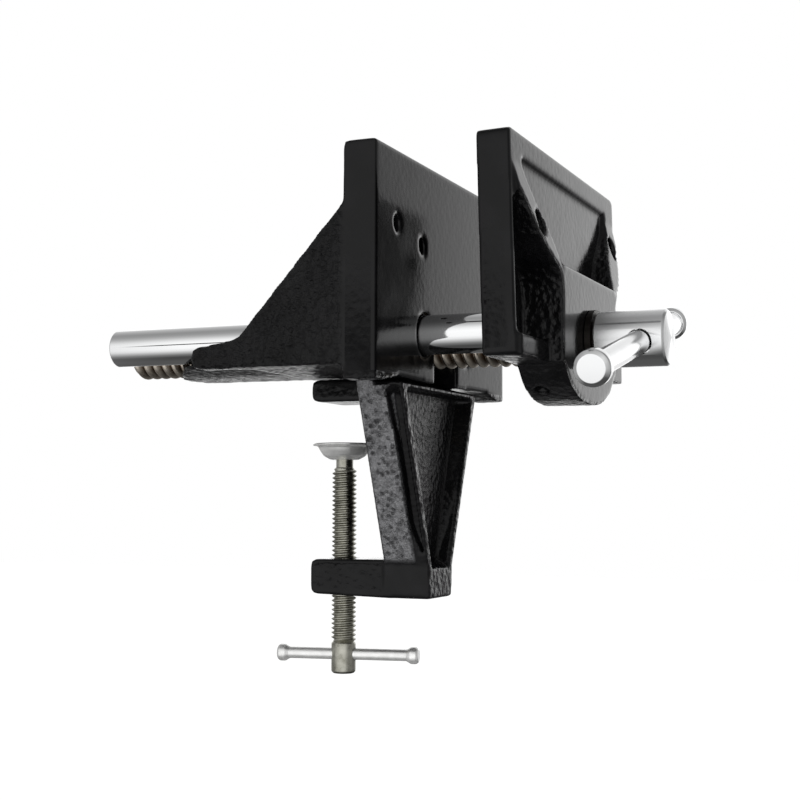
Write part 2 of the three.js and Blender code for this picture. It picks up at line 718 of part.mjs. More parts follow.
function clampCup() {
  const hole = CLAMP_NECK_RADIUS + GAP;
  return turned([
    [hole, CUP_FLOOR],
    [6.2, CUP_FLOOR],
    [9.4, CUP_FLOOR + 1.7],
    [11.2, CUP_FLOOR + 4.3],
    [12, CUP_RIM - 1.4],
    [CUP_RADIUS - 0.4, CUP_RIM - 1.1],
    [CUP_RADIUS, CUP_RIM - 0.5],
    [CUP_RADIUS - 0.5, CUP_RIM],
    [11.4, CUP_RIM],
    [10, CUP_FLOOR + 4.8],
    [8.4, CUP_FLOOR + 2.7],
    [5.8, CUP_FLOOR + 1.4],
    [hole, CUP_FLOOR + 1.4],
    [hole, CUP_FLOOR],
  ], 40).translate(CLAMP_AT, 0, 0);
}

place("clamp_screw", clampScrew(), zincSteel);
place("clamp_cup", clampCup(), zincSteel);

const tbarEnd = TBAR_LENGTH / 2;
const tbar = place("clamp_tommy_bar", towardsX(turned([
  [0, -tbarEnd],
  [TBAR_KNOB - 0.8, -tbarEnd],
  [TBAR_KNOB, -tbarEnd + 1],
  [TBAR_KNOB, -tbarEnd + 3.4],
  [TBAR_RADIUS, -tbarEnd + 5.4],
  [TBAR_RADIUS, tbarEnd - 5.4],
  [TBAR_KNOB, tbarEnd - 3.4],
  [TBAR_KNOB, tbarEnd - 1],
  [TBAR_KNOB - 0.8, tbarEnd],
  [0, tbarEnd],
], 20)), zincSteel);
tbar.position.set(
  CLAMP_AT + TBAR_SHIFT * Math.cos(TBAR_TURN),
  TBAR_SHIFT * Math.sin(TBAR_TURN),
  TBAR_AT,
);
tbar.rotation.z = TBAR_TURN;

const benchVise = new THREE.Group();
vise.position.set(SEAT_TO_FACE, 0, SEAT_TO_RODS);
benchVise.add(vise);

export default benchVise;
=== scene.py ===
"""Looks of the clamp-on bench vise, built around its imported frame. Metres, +X from the fixed jaw to the
handle, +Z up, the origin in the middle of the bench seat."""

import json
import math

import bmesh
import bpy
import numpy as np
from mathutils import Matrix, Vector


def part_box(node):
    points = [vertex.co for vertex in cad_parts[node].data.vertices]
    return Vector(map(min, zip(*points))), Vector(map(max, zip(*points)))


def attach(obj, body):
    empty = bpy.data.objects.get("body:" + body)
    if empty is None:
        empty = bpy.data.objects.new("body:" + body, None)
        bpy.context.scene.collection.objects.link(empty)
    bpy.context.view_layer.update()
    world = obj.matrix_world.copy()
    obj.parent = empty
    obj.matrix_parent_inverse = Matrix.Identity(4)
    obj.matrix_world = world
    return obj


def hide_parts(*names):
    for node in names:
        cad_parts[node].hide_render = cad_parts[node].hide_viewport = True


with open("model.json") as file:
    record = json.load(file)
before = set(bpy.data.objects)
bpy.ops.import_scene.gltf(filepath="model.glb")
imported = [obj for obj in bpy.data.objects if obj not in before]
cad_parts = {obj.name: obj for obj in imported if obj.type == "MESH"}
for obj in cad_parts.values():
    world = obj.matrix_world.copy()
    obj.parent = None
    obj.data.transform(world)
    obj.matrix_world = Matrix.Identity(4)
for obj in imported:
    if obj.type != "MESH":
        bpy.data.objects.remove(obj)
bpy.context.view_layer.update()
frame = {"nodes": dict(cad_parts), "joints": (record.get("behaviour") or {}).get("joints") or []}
NODES = frame["nodes"]
JOINTS = {j["name"]: j for j in frame["joints"]}
MM = 0.001
X, Z = Vector((1, 0, 0)), Vector((0, 0, 1))


# ---- node and material helpers --------------------------------------------------------------
class Graph:
    """A small wrapper that adds nodes to a tree and links what it is given."""

    def __init__(self, tree):
        self.tree = tree
        tree.nodes.clear()

    def put(self, socket, value):
        if isinstance(value, bpy.types.NodeSocket):
            self.tree.links.new(value, socket)
        elif isinstance(value, (tuple, list)) and socket.type == "RGBA" and len(value) == 3:
            socket.default_value = (*value, 1.0)
        else:
            socket.default_value = value

    def node(self, kind, inputs=None, **settings):
        made = self.tree.nodes.new(kind)
        for name, value in settings.items():
            setattr(made, name, value)
        for name, value in (inputs or {}).items():
            self.put(made.inputs[name], value)
        return made

    def math(self, operation, a, b=0.0, c=0.0, clamp=False):
        made = self.node("ShaderNodeMath", {0: a, 1: b, 2: c}, operation=operation, use_clamp=clamp)
        return made.outputs[0]

    def span(self, value, low, high, to_low=0.0, to_high=1.0):
        made = self.node(
            "ShaderNodeMapRange",
            {"Value": value, "From Min": low, "From Max": high, "To Min": to_low, "To Max": to_high},
            clamp=True,
        )
        return made.outputs["Result"]

    def noise(self, where, scale, detail=3.0, rough=0.5):
        return self.node(
            "ShaderNodeTexNoise",
            {"Vector": where, "Scale": scale, "Detail": detail, "Roughness": rough},
        ).outputs["Fac"]

    def cells(self, where, scale, feature="F1", smooth=1.0):
        made = self.node("ShaderNodeTexVoronoi", {"Vector": where, "Scale": scale}, feature=feature)
        if feature == "SMOOTH_F1":
            made.inputs["Smoothness"].default_value = smooth
        return made.outputs["Distance"]

    def mix(self, factor, a, b):
        made = self.node("ShaderNodeMix", {"Factor": factor}, data_type="RGBA")
        self.put(made.inputs[6], a)
        self.put(made.inputs[7], b)
        return made.outputs[2]

    def stretch(self, where, scale):
        return self.node("ShaderNodeMapping", {"Vector": where, "Scale": scale}).outputs[0]

    def scaled(self, vector, scale):
        made = self.node("ShaderNodeVectorMath", {0: vector, "Scale": scale}, operation="SCALE")
        return made.outputs[0]

    def warped(self, where, scale, reach):
        """The place pushed about, as far as reach, by a noise of this scale."""
        noise = self.node("ShaderNodeTexNoise", {"Vector": where, "Scale": scale}).outputs["Color"]
        push = self.scaled(noise, reach)
        return self.node("ShaderNodeVectorMath", {0: where, 1: push}, operation="ADD").outputs[0]

    def bump(self, height, distance, strength=1.0, below=None):
        inputs = {"Height": height, "Distance": distance, "Strength": strength}
        if below is not None:
            inputs["Normal"] = below
        return self.node("ShaderNodeBump", inputs).outputs[0]

    def place(self):
        return self.node("ShaderNodeTexCoord").outputs["Object"]


# ---- materials ------------------------------------------------------------------------------
# Texture scales are in features per metre and bump distances in metres.
def material(name, make):
    """A Principled material whose inputs are what make(graph) returns."""
    made = bpy.data.materials.new(name)
    made.use_nodes = True
    graph = Graph(made.node_tree)
    shader = graph.node("ShaderNodeBsdfPrincipled")
    out = graph.node("ShaderNodeOutputMaterial")
    made.node_tree.links.new(shader.outputs[0], out.inputs["Surface"])
    for socket, value in make(graph).items():
        graph.put(shader.inputs[socket], value)
    return made


def cast_paint(g):
    """Thick gloss black over sand-cast iron. The mesh says where the skin is rough ("cast") and where
    a sand-cast crust shows on the leg's sloping sides. There the colour also turns a lighter grey
    in lumps: painted light, standing in for a lamp low in front that lit those sides."""
    where = g.place()
    skin = g.node("ShaderNodeAttribute", attribute_name="cast").outputs["Fac"]
    crust_and_painted_light = g.node("ShaderNodeAttribute", attribute_name="crust_and_painted_light").outputs["Fac"]
    grain = g.noise(where, 700.0, 3.0, 0.6)

    sags = g.noise(g.stretch(where, (1.0, 1.0, 0.5)), 150.0, 2.0)
    normal = g.bump(g.math("MULTIPLY", sags, skin), 0.0008, 0.12)
    peel = g.cells(where, 360.0, "SMOOTH_F1", 0.35)
    peel = g.math("ADD", peel, g.math("MULTIPLY", grain, 0.6))
    normal = g.bump(g.math("MULTIPLY", peel, skin), 0.0011, 0.9, normal)
    pits = g.span(g.cells(g.warped(where, 600.0, 0.0016), 380.0), 0.05, 0.42)
    coarse = g.math("MULTIPLY", g.math("ADD", pits, grain), crust_and_painted_light)
    normal = g.bump(coarse, 0.0018, 1.0, normal)

    dull = g.noise(where, 70.0, 4.0)
    polish = g.span(dull, 0.3, 0.7, 0.09, 0.17)
    # Painted light: on the crust the colour is mixed towards a lighter grey, more on the lumps and less
    # in the pits, standing in for a lamp's light and glints on the bumps.
    lumps = g.span(g.noise(where, 330.0, 4.0, 0.7), 0.34, 0.6, 0.4, 1.0)
    thin = g.math("MULTIPLY", g.span(pits, 0.1, 0.8, 0.5, 1.0), lumps)
    thin = g.math("MULTIPLY", thin, crust_and_painted_light)
    black = g.mix(g.span(dull, 0.4, 0.7), (0.003, 0.003, 0.0033), (0.007, 0.007, 0.0075))
    return {
        "Base Color": g.mix(thin, black, (0.30, 0.30, 0.31)),
        "Metallic": g.math("MULTIPLY", crust_and_painted_light, 0.55),
        "Roughness": g.math("ADD", polish, g.math("MULTIPLY", crust_and_painted_light, 0.05)),
        "IOR": 1.285,
        "Normal": normal,
    }


def chrome(g, smooth=0.035, hazy=0.075):
    """Ground and plated: hard mirror, a little hazy in patches."""
    haze = g.noise(g.place(), 90.0, 3.0)
    return {
        "Base Color": (0.86, 0.865, 0.87),
        "Metallic": 1.0,
        "Roughness": g.span(haze, 0.35, 0.7, smooth, hazy),
    }


def satin_chrome(g):
    """The handle: the same plate, a little duller from hands."""
    return chrome(g, 0.10, 0.16)


def turned_chrome(g):
    """The spindle head: plate over the fine rings of a turned surface."""
    rings = g.node("ShaderNodeTangent", direction_type="RADIAL", axis="X").outputs[0]
    return {**chrome(g, 0.22, 0.25), "Anisotropic": 0.95, "Anisotropic Rotation": 0.25,
            "Tangent": rings}


def oil_black_and_painted_shade(g):
    """Steel pins black with old oil. The steel thrust washer gets the same near black as painted shade,
    for the gap between the spindle head and the jaw.
    """
    stain = g.noise(g.place(), 240.0)
    return {
        "Base Color": g.mix(stain, (0.012, 0.011, 0.010), (0.05, 0.045, 0.04)),
        "Metallic": 1.0,
        "Roughness": 0.36,
    }


def oily_thread(g):
    """Rolled thread: bright crests, brown oil down in the roots."""
    where = g.place()
    axis = JOINTS["spindle_turn"]["pos_m"]
    parts = g.node("ShaderNodeSeparateXYZ", {0: where}).outputs
    height = g.math("SUBTRACT", parts[2], axis[2])
    across = g.math("MULTIPLY", parts[1], parts[1])
    radius = g.math("SQRT", g.math("ADD", across, g.math("MULTIPLY", height, height)))
    crest = g.span(radius, 0.0077, 0.0094)
    stain = g.noise(where, 220.0, 4.0, 0.6)
    clean = g.math("MULTIPLY", crest, g.span(stain, 0.25, 0.6, 0.55, 1.0))
    return {
        "Base Color": g.mix(clean, (0.11, 0.07, 0.042), (1.0, 0.91, 0.79)),
        "Metallic": 1.0,
        "Roughness": g.span(stain, 0.3, 0.7, 0.24, 0.4),
        "Normal": g.bump(g.noise(where, 1500.0, 3.0), 0.0002, 0.3),
    }


def zinc(g, low=(0.46, 0.46, 0.44), high=(0.76, 0.76, 0.74)):
    """Satin plating, lightly stained between the two colours."""
    where = g.place()
    stain = g.noise(where, 260.0, 4.0, 0.6)
    return {
        "Base Color": g.mix(g.span(stain, 0.3, 0.7), low, high),
        "Metallic": 1.0,
        "Roughness": g.span(stain, 0.3, 0.7, 0.22, 0.38),
        "Normal": g.bump(g.noise(where, 1800.0, 2.0), 0.00015, 0.25),
    }


def pale_zinc(g):
    """Fresh bright plating on the cup and the tommy bar."""
    return {**zinc(g, (0.78, 0.78, 0.77), (0.95, 0.95, 0.94)), "Metallic": 0.7, "Roughness": 0.16}


def dull_zinc(g):
    """The clamp screw's plating, browned by oil and handling."""
    return zinc(g, (0.27, 0.265, 0.225), (0.54, 0.535, 0.475))


def bronze(g):
    """Turned bronze, brown with oil in places."""
    stain = g.noise(g.place(), 180.0, 4.0)
    return {
        "Base Color": g.mix(g.span(stain, 0.3, 0.7), (0.28, 0.17, 0.06), (0.52, 0.34, 0.14)),
        "Metallic": 1.0,
        "Roughness": g.span(stain, 0.3, 0.7, 0.25, 0.42),
    }


PAINT = material("cast_paint", cast_paint)
CHROME = material("polished_chrome", chrome)
SATIN = material("satin_chrome", satin_chrome)
TURNED = material("turned_chrome", turned_chrome)
BLACK = material("oil_black_and_painted_shade", oil_black_and_painted_shade)
OILED = material("oily_thread", oily_thread)
ZINC = material("satin_zinc", zinc)
DULL = material("dull_zinc", dull_zinc)
PALE = material("pale_zinc", pale_zinc)
BRONZE = material("nut_bronze", bronze)


# ---- mesh helpers ---------------------------------------------------------------------------
def settle(piece, body, finish, nodes=()):
    """Gives the piece its body and finish, and the nodes that it replaces."""
    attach(piece, body)
    piece.data.materials.clear()
    piece.data.materials.append(finish)
    if nodes:
        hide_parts(*nodes)
    return piece


def add_object(name, mesh):
    made = bpy.data.objects.new(name, mesh)
    bpy.context.scene.collection.objects.link(made)
    return made


def soften(mesh, degrees=32):
    mesh.shade_smooth()
    mesh.set_sharp_from_angle(angle=math.radians(degrees))


def baked(piece):
    """The piece with its modifiers applied."""
    graph = bpy.context.evaluated_depsgraph_get()
    mesh = bpy.data.meshes.new_from_object(piece.evaluated_get(graph))
    piece.modifiers.clear()
    old = piece.data
    piece.data = mesh
    bpy.data.meshes.remove(old)
    return piece


def basis(start, direction):
    """Matrix from a frame whose +Z is the direction and whose origin is the start."""
    turn = direction.normalized().to_track_quat("Z", "Y").to_matrix().to_4x4()
    return Matrix.Translation(start) @ turn


def fill_rims(shape):
    """Closes the open rims of a bmesh."""
    rims = [edge for edge in shape.edges if edge.is_boundary]
    bmesh.ops.holes_fill(shape, edges=rims, sides=0)


def surface(name, verts, faces, matrix, degrees=32, merge=1e-7, fill=False):
    """An object from these faces, with points closer than merge joined and open rims filled if asked."""
    mesh = bpy.data.meshes.new(name)
    mesh.from_pydata(verts, [], faces)
    shape = bmesh.new()
    shape.from_mesh(mesh)
    bmesh.ops.remove_doubles(shape, verts=shape.verts, dist=merge)
    if fill:
        bmesh.ops.dissolve_degenerate(shape, edges=shape.edges, dist=1e-7)
        fill_rims(shape)
        loose = [v for v in shape.verts if not v.link_faces]
        bmesh.ops.delete(shape, geom=loose, context="VERTS")
    bmesh.ops.recalc_face_normals(shape, faces=shape.faces)
    shape.to_mesh(mesh)
    shape.free()
    mesh.transform(matrix)
    soften(mesh, degrees)
    return add_object(name, mesh)


def on_ring(radius, height, step, steps):
    """The point this many steps round Z, from a radius and height in millimetres."""
    turn = 2 * math.pi * step / steps
    return radius * math.cos(turn) * MM, radius * math.sin(turn) * MM, height * MM


def lathe(name, profile, matrix, segments=96, fill=False):
    """Turned shape: a list of (radius, height) in millimetres about the matrix's Z."""
    verts = [on_ring(*point, k, segments) for point in profile for k in range(segments)]
    faces = []
    for i in range(len(profile) - 1):
        for k in range(segments):
            a, b = i * segments + k, i * segments + (k + 1) % segments
            faces.append((a, b, b + segments, a + segments))
    return surface(name, verts, faces, matrix, fill=fill)


def rounded(points, radius, steps=4):
    """The open line of (r, z) points with each inner corner rounded."""
    out = [points[0]]
    for before, here, after in zip(points, points[1:], points[2:]):
        a, b, c = (Vector(p) for p in (before, here, after))
        reach = min(radius, 0.45 * (a - b).length, 0.45 * (c - b).length)
        start = b + (a - b).normalized() * reach
        end = b + (c - b).normalized() * reach
        for i in range(steps + 1):
            t = i / steps
            point = start * (1 - t) ** 2 + b * 2 * t * (1 - t) + end * t**2
            out.append((point.x, point.y))
    out.append(points[-1])
    return out


def threaded(name, matrix, length, pitch, tooth, limit, around=48):
    """A screw along the matrix's Z. tooth is one turn's profile as (share of pitch, radius), and
    limit(height) gives the largest radius there, in millimetres."""
    levels = len(tooth)
    turns = int(math.ceil(length / pitch)) + 1
    verts, faces = [], []
    for i in range(-levels, levels * turns + 1):
        share, radius = tooth[i % levels]
        base = (i // levels + share) * pitch
        for k in range(around):
            height = min(max(base + pitch * k / around, 0.0), length)
            verts.append(on_ring(min(radius, limit(height)), height, k, around))
    count = levels * (turns + 1) + 1
    for i in range(count - 1):
        for k in range(around):
            a, d = i * around + k, (i + 1) * around + k
            if k < around - 1:
                faces.append((a, a + 1, d + 1, d))
            elif i + 1 + levels < count:
                # The last column meets the first one a whole turn further along.
                b, c = (i + levels) * around, (i + 1 + levels) * around
                faces.append((a, b, c, d))
    return surface(name, verts, faces, matrix, 50, 2e-6, fill=True)


def cross_drill(piece, radius, centre, axis, segments):
    """Cuts a round hole of this radius, in millimetres, right through the piece."""
    reach = 40
    line = [(0, -reach), (radius, -reach), (radius, reach), (0, reach)]
    cutter = lathe("cutter", line, basis(centre, axis), segments)
    carve = piece.modifiers.new("cross_hole", "BOOLEAN")
    carve.operation = "DIFFERENCE"
    carve.object = cutter
    carve.solver = "EXACT"
    baked(piece)
    bpy.data.objects.remove(cutter)


def box_mm(node):
    """The node's box in millimetres: its low corner, its high corner and its middle."""
    low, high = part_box(node)
    return low / MM, high / MM, (low + high) / 2 / MM


# ---- castings -------------------------------------------------------------------------------
def rows(items, field, width, kind=float):
    """One field of all these parts of a mesh, as an array with a row for each."""
    values = np.zeros(len(items) * width, kind)
    items.foreach_get(field, values)
    return values.reshape(-1, width)


def relaxed(points, edges, passes):
    """The points, each moved halfway to the mean of its neighbours in every pass."""
    links = np.maximum(np.bincount(edges.ravel(), minlength=len(points)), 1)[:, None]
    for _ in range(passes):
        total = np.zeros_like(points)
        np.add.at(total, edges[:, 0], points[edges[:, 1]])
        np.add.at(total, edges[:, 1], points[edges[:, 0]])
        points = points + 0.5 * (total / links - points)
    return points


def ripple(points, size, seed):
    """Smooth random unevenness, about -1 to 1, with bumps of about the given size in millimetres."""
    random = np.random.default_rng(seed)
    total = np.zeros(len(points))
    for _ in range(14):
        wave = random.normal(size=3)
        wave *= 2 * math.pi / (size * random.uniform(0.7, 1.6)) / np.linalg.norm(wave)
        total += np.sin(points @ wave + random.uniform(0, 2 * math.pi))
    return total / 3.0


def casting(name, node, body, voxel, passes, skin, crust_and_painted_light):
    """The node's shape as a casting: rounded edges, filled corners and a slightly uneven skin."""
    piece = add_object(name, NODES[node].data.copy())
    remesh = piece.modifiers.new("voxels", "REMESH")
    remesh.mode = "VOXEL"
    remesh.voxel_size = voxel * MM
    baked(piece)
    mesh = piece.data
    points = relaxed(rows(mesh.vertices, "co", 3), rows(mesh.edges, "vertices", 2, int), passes)
    mesh.vertices.foreach_set("co", points.ravel())
    mesh.update()
    normals = rows(mesh.vertices, "normal", 3)
    places = points / MM
    rough, crust_and_painted_light_mask = skin(places, normals), crust_and_painted_light(places, normals)
    lumps = 0.05 * ripple(places, 9.0, 1) + 0.05 * ripple(places, 4.5, 2)
    lumps = lumps * np.minimum(rough, 1.0) + 0.15 * ripple(places, 3.2, 3) * crust_and_painted_light_mask
    points = points + normals * (lumps * MM)[:, None]
    mesh.vertices.foreach_set("co", points.ravel())
    # The second attribute marks the crust, which also carries painted light.
    for label, values in (("cast", rough), ("crust_and_painted_light", crust_and_painted_light_mask)):
        layer = mesh.attributes.new(label, "FLOAT", "POINT")
        layer.data.foreach_set("value", values.astype(np.float32))
    mesh.shade_smooth()
    return settle(piece, body, PAINT, [node])


def ramp(values, low, high):
    """0 below low, 1 above high, and straight in between."""
    return np.clip((values - low) / (high - low), 0, 1)


def fixed_skin(points, normals):
    """Smooth on the clamping face, the top and the ends of the plate, rough on the gussets."""
    plate = ramp(points[:, 0], 24.5, 27.5)
    return 1.7 - 1.68 * plate * ramp(points[:, 2], 4.0, 7.0)


def moving_skin(points, normals):
    """Smooth, but rough under the belly and inside the side pockets."""
    under = ramp(-normals[:, 2], 0.2, 0.6) * ramp(-points[:, 2], -12.0, -8.0)
    front = ramp(normals[:, 0], 0.8, 0.95)
    aside = np.abs(points[:, 1])
    pocket = ramp(points[:, 0], 86, 88) * ramp(aside, 36, 39) * (1 - ramp(aside, 70, 71.5))
    pocket *= 1 - ramp(points[:, 2], 70, 77)
    return np.clip(0.03 + 0.6 * under + 0.6 * pocket * (1 - front), 0, 1)


def frame_skin(points, normals):
    """A little peel all over, and more on the leg's outer face."""
    front = ramp(normals[:, 0], 0.75, 0.95)
    return np.clip(0.12 + 0.3 * front, 0, 1)


def no_crust_or_painted_light(points, normals):
    return np.zeros(len(points))


def frame_crust_and_painted_light(points, normals):
    """Sand-cast crust on the sloping sides of the leg, and the painted light there: a lighter grey
    standing in for a lamp that lit those sides.
    """
    side = ramp(np.abs(normals[:, 1]), 0.6, 0.8) * ramp(-normals[:, 2], 0.1, 0.25)
    flange = ramp(points[:, 0], 17.0, 19.0) * (1 - ramp(points[:, 0], 32.0, 33.5))
    return side * flange * ramp(points[:, 2], -69.5, -68.0)


casting("fixed_jaw_casting", "fixed_jaw", "base", 1.1, 3, fixed_skin, no_crust_or_painted_light)
casting("moving_jaw_casting", "moving_jaw", "jaw", 0.8, 5, moving_skin, no_crust_or_painted_light)
casting("clamp_frame_casting", "clamp_frame", "base", 0.85, 3, frame_skin, frame_crust_and_painted_light)


# ---- guide rods and lead screw --------------------------------------------------------------
JOURNAL_RADIUS = 7.0
LEAD_PITCH = 5.0
LEAD_DEPTH = 2.3


def guide_rod(end):
    """Plain ground rod with chamfered ends."""
    low, high, middle = box_mm("guide_rod_" + end)
    radius = (high.z - low.z) / 2
    length = high.x - low.x
    line = [(0, 0), (radius - 0.9, 0), (radius, 0.7), (radius, length - 0.7),
            (radius - 0.9, length), (0, length)]
    start = Vector((low.x, middle.y, middle.z)) * MM
    rod = lathe("chrome_rod_" + end, rounded(line, 0.35, 3), basis(start, X), 128)
    settle(rod, "jaw", CHROME, ["guide_rod_" + end])


def lead_screw():
    """Coarse round-topped thread up to a shoulder, and a plain journal through the jaw."""
    low, high, middle = box_mm("lead_screw")
    collar_start = box_mm("retaining_collar")[0].x
    radius = (high.z - low.z) / 2
    whole = high.x - low.x
    thread_length = collar_start - 2.0 - low.x

    def limit(height):
        entry = radius - 2.6 + height * 1.1
        run_out = radius - (height - thread_length + 4) * 0.55
        return min(entry, run_out, radius)

    steps = 14
    tooth = []
    for i in range(steps):
        share = i / steps
        wave = 0.5 + 0.5 * math.cos(2 * math.pi * share)
        tooth.append((share, radius - LEAD_DEPTH + LEAD_DEPTH * wave**0.75))
    place = basis(Vector((low.x, 0, middle.z)) * MM, X)
    thread = threaded("lead_screw_thread", place, thread_length, LEAD_PITCH, tooth, limit, 56)
    settle(thread, "spindle", OILED, ["lead_screw"])
    line = [(0, thread_length - 1), (JOURNAL_RADIUS, thread_length - 1),
            (JOURNAL_RADIUS, whole - 0.5), (JOURNAL_RADIUS - 0.5, whole), (0, whole)]
    journal = lathe("lead_screw_journal", line, place, 64)
    settle(journal, "spindle", OILED)


for end in ("near", "far"):
    guide_rod(end)
lead_screw()


# ---- spindle head, handle and caps ----------------------------------------------------------
HANDLE_AXIS = Vector(JOINTS["handle_slide"]["axis"]).normalized()
HANDLE_GAP = 0.5


def spindle_head():
    """Turned head with a socket for the journal, a cross hole for the bar and a domed front."""
    low, high, middle = box_mm("spindle_head")
    bar_low, bar_high, bar_middle = box_mm("handle_bar")
    radius = (high.z - low.z) / 2
    dome = 0.9
    front = high.x - low.x - dome
    socket_radius, socket_depth = JOURNAL_RADIUS + 0.3, 11.8
    line = [(socket_radius, 0.2), (radius - 0.7, 0.2), (radius, 0.9), (radius, front - 0.9),
            (radius - 0.9, front), (0, front + dome)]
    profile = [(socket_radius, socket_depth), *rounded(line, 0.3, 3)]
    place = basis(Vector((low.x, 0, middle.z)) * MM, X)
    head = lathe("spindle_head_turned", profile, place, 128, fill=True)
    hole_radius = (bar_high.x - bar_low.x) / 2 + HANDLE_GAP
    centre = Vector((bar_middle.x, 0, middle.z)) * MM
    cross_drill(head, hole_radius, centre, HANDLE_AXIS, 96)
    bevel = head.modifiers.new("edge", "BEVEL")
    bevel.width = 0.35 * MM
    bevel.segments = 3
    bevel.angle_limit = math.radians(50)
    baked(head)
    soften(head.data, 40)
    settle(head, "spindle", TURNED, ["spindle_head"])


def handle():
    """Bar with a spigot at each end, and the two caps pressed on them."""
    low, high, middle = box_mm("handle_bar")
    centre = middle * MM
    radius = (high.x - low.x) / 2
    spigot, cap_depth = radius - 1.4, 5.8
    reach = ((high.y - low.y) / 2 - spigot * HANDLE_AXIS.z) / HANDLE_AXIS.y
    line = [(0, -reach), (spigot, -reach), (spigot, -reach + cap_depth),
            (radius, -reach + cap_depth + 0.4), (radius, reach - cap_depth - 0.4),
            (spigot, reach - cap_depth), (spigot, reach), (0, reach)]
    bar = lathe("handle_bar_turned", line, basis(centre, HANDLE_AXIS))
    settle(bar, "handle", SATIN, ["handle_bar"])
    crown = 1.2
    for end, side in (("near", -1), ("far", 1)):
        outward = HANDLE_AXIS * side
        tip = centre + outward * (reach + crown) * MM
        line = [(0, 0), (5.3, 0), (6.9, 1.25), (7.1, 1.9), (7.1, 5.4), (5.9, 6.6), (3.8, 6.6),
                (3.8, 0.9), (0, 0.9)]
        cap = lathe("handle_cap_turned_" + end, rounded(line, 0.25), basis(tip, -outward))
        settle(cap, "handle", SATIN, ["handle_cap_" + end])
        cap.visible_glossy = False


spindle_head()
handle()


# ---- clamp screw, cup and tommy bar ---------------------------------------------------------
TOMMY_AXIS = Vector(JOINTS["tommy_bar_slide"]["axis"]).normalized()
CLAMP_PITCH = 2.0
CLAMP_DEPTH = 1.15
FOOT_LENGTH = 13.5
THREAD_END = 90.5  # heights along the clamp screw are above its lower end


def clamp_screw():
    """Cut thread between a plain drilled foot and the neck that carries the cup."""
    low, high, middle = box_mm("clamp_screw")
    radius = (high.y - low.y) / 2
    top = high.z - low.z
    start = Vector((middle.x, 0, low.z)) * MM
    length = THREAD_END - FOOT_LENGTH
    root = radius - CLAMP_DEPTH
    tooth = [(0.0, radius), (0.14, radius), (0.5, root), (0.62, root)]

    def limit(height):
        if height < 1.2:
            return radius - 1.2 + height
        return min(radius, radius - 1.6 + max(0.0, length - height))

    thread_place = basis(start + Z * FOOT_LENGTH * MM, Z)
    thread = threaded("clamp_screw_thread", thread_place, length, CLAMP_PITCH, tooth, limit, 64)
    settle(thread, "clamp_spindle", DULL, ["clamp_screw"])

    foot_line = [(0, 0), (radius - 1, 0), (radius - 0.1, 0.9), (radius - 0.1, 13.2),
                 (radius - 1.4, 14.4), (0, 14.4)]
    foot = lathe("clamp_screw_head", rounded(foot_line, 0.5, 3), basis(start, Z))
    tommy_middle = box_mm("clamp_tommy_bar")[2]
    cross_drill(foot, 2.9, Vector((middle.x, 0, tommy_middle.z)) * MM, TOMMY_AXIS, 64)
    soften(foot.data, 40)
    settle(foot, "clamp_spindle", DULL)

    base = THREAD_END - 1.0
    neck_line = [(0, base), (3.8, base), (3.8, top - 2.9), (5.3, top - 2.2), (5.0, top - 0.8),
                 (0, top)]
    neck = lathe("clamp_screw_neck", rounded(neck_line, 0.6, 3), basis(start, Z), 64)
    settle(neck, "clamp_spindle", DULL)


def clamp_cup():
    """Pressed cup with a flat rim and a hole for the neck."""
    low, high, middle = box_mm("clamp_cup")
    rim = high.z - low.z
    wide = (high.x - low.x) / 2
    outside = [(4.1, 0), (6.2, 0), (9.4, 1.7), (11.2, 4.3), (12.0, rim - 1.4),
               (wide - 0.4, rim - 1.1), (wide, rim - 0.5), (wide - 0.5, rim)]
    inside = [(11.4, rim), (10.0, 4.8), (8.4, 2.7), (5.8, 1.4), (4.1, 1.4), (4.1, 0)]
    place = basis(Vector((middle.x, 0, low.z)) * MM, Z)
    cup = lathe("clamp_cup_pressed", rounded(outside + inside, 0.9), place)
    settle(cup, "cup", PALE, ["clamp_cup"])


def tommy_bar():
    """Thin bar with upset ends."""
    low, high, middle = box_mm("clamp_tommy_bar")
    thin, thick, face = 2.55, 3.75, 2.95
    half = ((high.x - low.x) / 2 - 3.7 * TOMMY_AXIS.y) / TOMMY_AXIS.x
    line = [(0, -half), (face, -half), (thick, -half + 1), (thick, -half + 3.4),
            (thin, -half + 5.4), (thin, half - 5.4), (thick, half - 3.4), (thick, half - 1),
            (face, half), (0, half)]
    bar = lathe("tommy_bar_turned", rounded(line, 0.5, 3), basis(middle * MM, TOMMY_AXIS), 64)
    settle(bar, "tommy_bar", PALE, ["clamp_tommy_bar"])


clamp_screw()
clamp_cup()
tommy_bar()


# ---- carried-over nodes ---------------------------------------------------------------------
CARRIED = {
    "rod_lock_screw_near": ZINC, "rod_lock_screw_far": ZINC, "lead_nut": BRONZE,
    # The thrust washer's near black is painted shade for the gap between the spindle head and the jaw.
    "nut_lock_screw": ZINC, "retaining_collar": ZINC, "collar_pin": BLACK, "thrust_washer": BLACK,
    "head_pin": BLACK, "frame_bolt_washer_near": ZINC, "frame_bolt_washer_far": ZINC,
    "frame_bolt_near": ZINC, "frame_bolt_far": ZINC,
}
for name, finish in CARRIED.items():
    node = NODES[name]
    node.data.materials.clear()
    node.data.materials.append(finish)
    node.data.shade_smooth()
    edge = node.modifiers.new("edge", "BEVEL")
    edge.width = 0.15 * MM
    edge.segments = 2
    edge.angle_limit = math.radians(35)
    edge.harden_normals = True


# ---- camera, light and floor ----------------------------------------------------------------
CAMERA_AT = (0.266373, -0.571749, -0.042366)
CAMERA_TURNS = (23.38, -3.975, 0.209)  # azimuth, elevation and roll, in degrees


